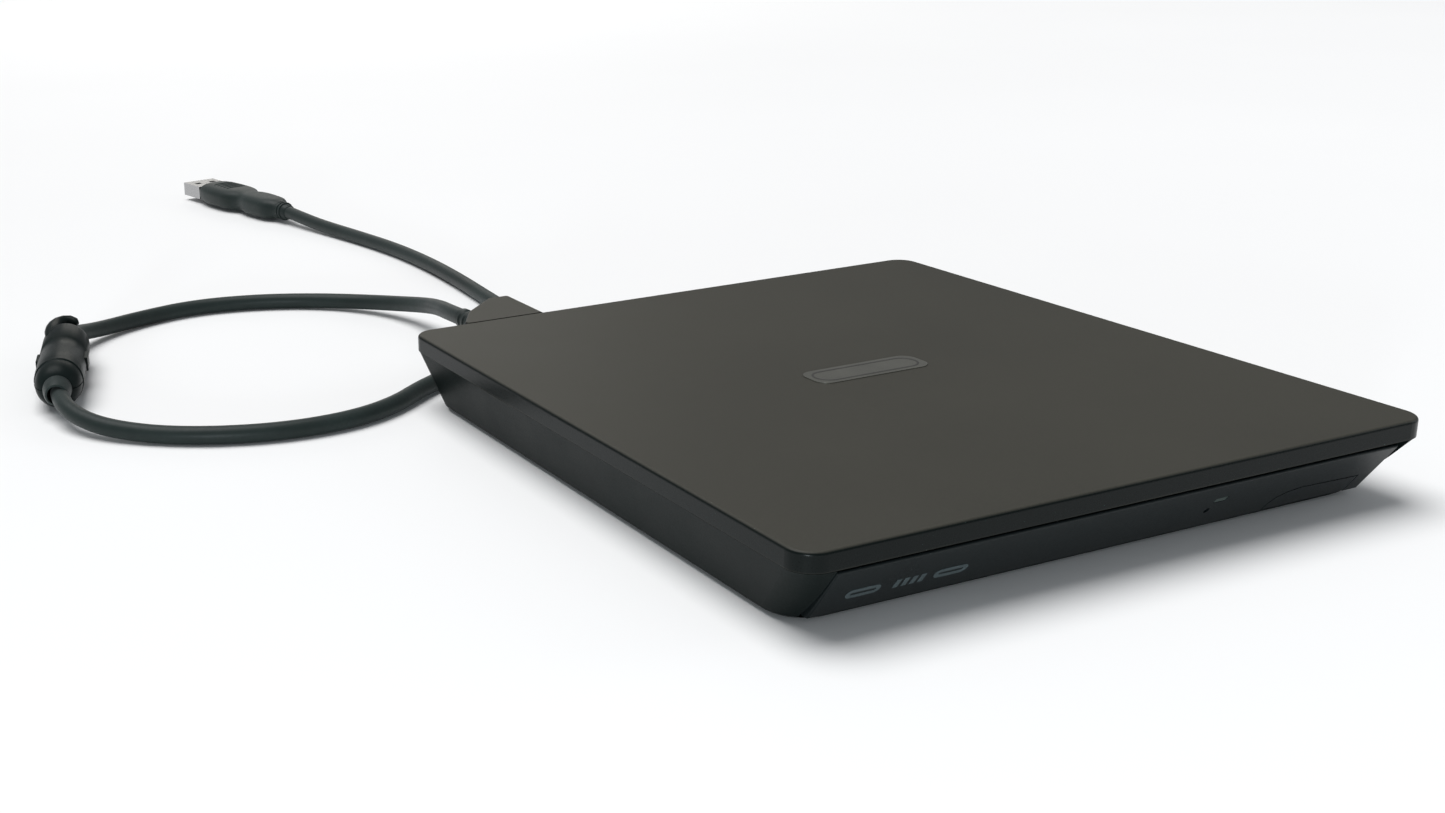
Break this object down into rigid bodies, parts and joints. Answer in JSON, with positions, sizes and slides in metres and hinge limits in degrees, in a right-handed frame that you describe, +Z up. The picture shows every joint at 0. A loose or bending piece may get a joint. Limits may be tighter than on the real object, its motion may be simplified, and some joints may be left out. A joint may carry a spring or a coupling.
{
  "type": "external optical disc drive",
  "caption": "Thin external optical disc drive with a sliding disc tray, slanted front bezel with eject button, and a captive cord with ferrite bead and plug.",
  "frame": {"origin": "middle of the case's outline, on the surface that it stands on", "axes": "+X right along the front, -Y out of the front where the tray comes out, +Z up"},
  "size_m": [0.2201, 0.4274, 0.0171],
  "materials": {
    "cover_plastic": "matte, fine texture",
    "case_plastic": "satin",
    "bezel_plastic": "satin",
    "tray_plastic": "matte",
    "rubber_black": "matte",
    "cord_jacket": "satin",
    "bead_plastic": "satin",
    "ferrite": "matte",
    "badge_metal": "satin",
    "label_film": "satin",
    "zinc_sheet": "brushed",
    "polished_steel": "polished",
    "brass_parts": "polished",
    "circuit_board": "satin",
    "chip_plastic": "matte",
    "sled_metal": "cast",
    "hub_plastic": "satin",
    "flex_film": "satin",
    "lamp_plastic": "frosted",
    "lens_glass": "polished"
  },
  "bodies": {
    "enclosure": {"badge_plate": "badge_metal", "bottom_case": "case_plastic", "bridge_board": "circuit_board", "bridge_components": "chip_plastic", "bridge_socket": "chip_plastic", "cable_hood": "cover_plastic", "case_screws": "polished_steel", "cord": "cord_jacket", "cord_boot": "cord_jacket", "drive_lid": "zinc_sheet", "drive_pan": "zinc_sheet", "drive_screws": "polished_steel", "ferrite_core": "ferrite", "ferrite_shell_lower": "bead_plastic", "ferrite_shell_upper": "bead_plastic", "latch_post": "polished_steel", "outer_rail_left": "zinc_sheet", "outer_rail_right": "zinc_sheet", "plug_body": "cord_jacket", "plug_contacts": "brass_parts", "plug_shell": "polished_steel", "plug_strain_relief": "cord_jacket", "plug_tongue": "chip_plastic", "ribbon_cable": "flex_film", "rubber_feet": "rubber_black", "top_cover": "cover_plastic", "underside_label": "label_film"},
    "mid_rail_left_slide": {"mid_rail_left": "zinc_sheet"},
    "mid_rail_right_slide": {"mid_rail_right": "zinc_sheet"},
    "button": {"eject_button": "bezel_plastic"},
    "spindle": {"turntable": "hub_plastic", "turntable_pad": "rubber_black"},
    "claw_1": {"disc_claw_1": "hub_plastic"},
    "claw_2": {"disc_claw_2": "hub_plastic"},
    "claw_3": {"disc_claw_3": "hub_plastic"},
    "carriage": {"pickup_sled": "sled_metal", "pickup_cover": "polished_steel", "screw_follower": "tray_plastic"},
    "lens": {"lens_holder": "tray_plastic", "objective_lens": "lens_glass"},
    "screw": {"lead_screw": "polished_steel"},
    "latch": {"tray_latch": "hub_plastic"},
    "plunger": {"solenoid_plunger": "polished_steel"},
    "tray": {"tray_frame": "tray_plastic", "tray_rim": "tray_plastic", "tray_bottom_plate": "zinc_sheet", "tray_bezel": "bezel_plastic", "status_lens": "lamp_plastic", "eject_switch": "tray_plastic", "tray_board": "circuit_board", "deck_plate": "zinc_sheet", "spindle_base": "zinc_sheet", "spindle_bearing": "brass_parts", "spindle_stator": "tray_plastic", "main_guide_rod": "polished_steel", "sub_guide_rod": "polished_steel", "feed_motor": "polished_steel", "feed_bracket": "zinc_sheet", "latch_pivot": "polished_steel", "latch_solenoid": "chip_plastic"}
  },
  "joints": [
    {"name": "tray_slide", "type": "slide", "parent": "enclosure", "child": "tray", "axis": [0, -1, 0], "range_m": [0, 0.112]},
    {"name": "left_rail_slide", "type": "slide", "parent": "enclosure", "child": "mid_rail_left_slide", "axis": [0, -1, 0], "range_m": [0, 0.056]},
    {"name": "right_rail_slide", "type": "slide", "parent": "enclosure", "child": "mid_rail_right_slide", "axis": [0, -1, 0], "range_m": [0, 0.056]},
    {"name": "eject_press", "type": "slide", "parent": "tray", "child": "button", "axis": [0, 1, 0], "range_m": [0, 0.0006], "stiffness_N_per_m": 800},
    {"name": "spindle_spin", "type": "hinge", "parent": "tray", "child": "spindle", "pos_m": [0, -0.0036, 0.006], "axis": [0, 0, 1], "continuous": true},
    {"name": "sled_slide", "type": "slide", "parent": "tray", "child": "carriage", "axis": [-0.7071, -0.7071, 0], "range_m": [0, 0.033]},
    {"name": "lead_screw_turn", "type": "hinge", "parent": "tray", "child": "screw", "pos_m": [-0.00042, -0.03033, 0.0058], "axis": [-0.7071, -0.7071, 0], "range_deg": [-1, 3961]},
    {"name": "lens_focus", "type": "slide", "parent": "carriage", "child": "lens", "axis": [0, 0, 1], "range_m": [-0.0004, 0.0004], "stiffness_N_per_m": 60},
    {"name": "latch_turn", "type": "hinge", "parent": "tray", "child": "latch", "pos_m": [0.046, -0.058, 0.0044], "axis": [0, 0, 1], "range_deg": [-25.2, 0.2]},
    {"name": "plunger_slide", "type": "slide", "parent": "tray", "child": "plunger", "axis": [1, 0, 0], "range_m": [-0.00127, 0], "stiffness_N_per_m": 60},
    {"name": "claw_1_press", "type": "slide", "parent": "spindle", "child": "claw_1", "axis": [-0.7071, -0.7071, 0], "range_m": [-0.0005, 0], "stiffness_N_per_m": 300},
    {"name": "claw_2_press", "type": "slide", "parent": "spindle", "child": "claw_2", "axis": [0.9659, -0.2588, 0], "range_m": [-0.0005, 0], "stiffness_N_per_m": 300},
    {"name": "claw_3_press", "type": "slide", "parent": "spindle", "child": "claw_3", "axis": [-0.2588, 0.9659, 0], "range_m": [-0.0005, 0], "stiffness_N_per_m": 300}
  ],
  "couplings": [
    {"joint": "left_rail_slide", "follows": "tray_slide", "ratio": 0.5},
    {"joint": "right_rail_slide", "follows": "tray_slide", "ratio": 0.5},
    {"joint": "lead_screw_turn", "follows": "sled_slide", "rad_per_m": 2094.4},
    {"joint": "latch_turn", "follows": "plunger_slide", "rad_per_m": 345}
  ]
}
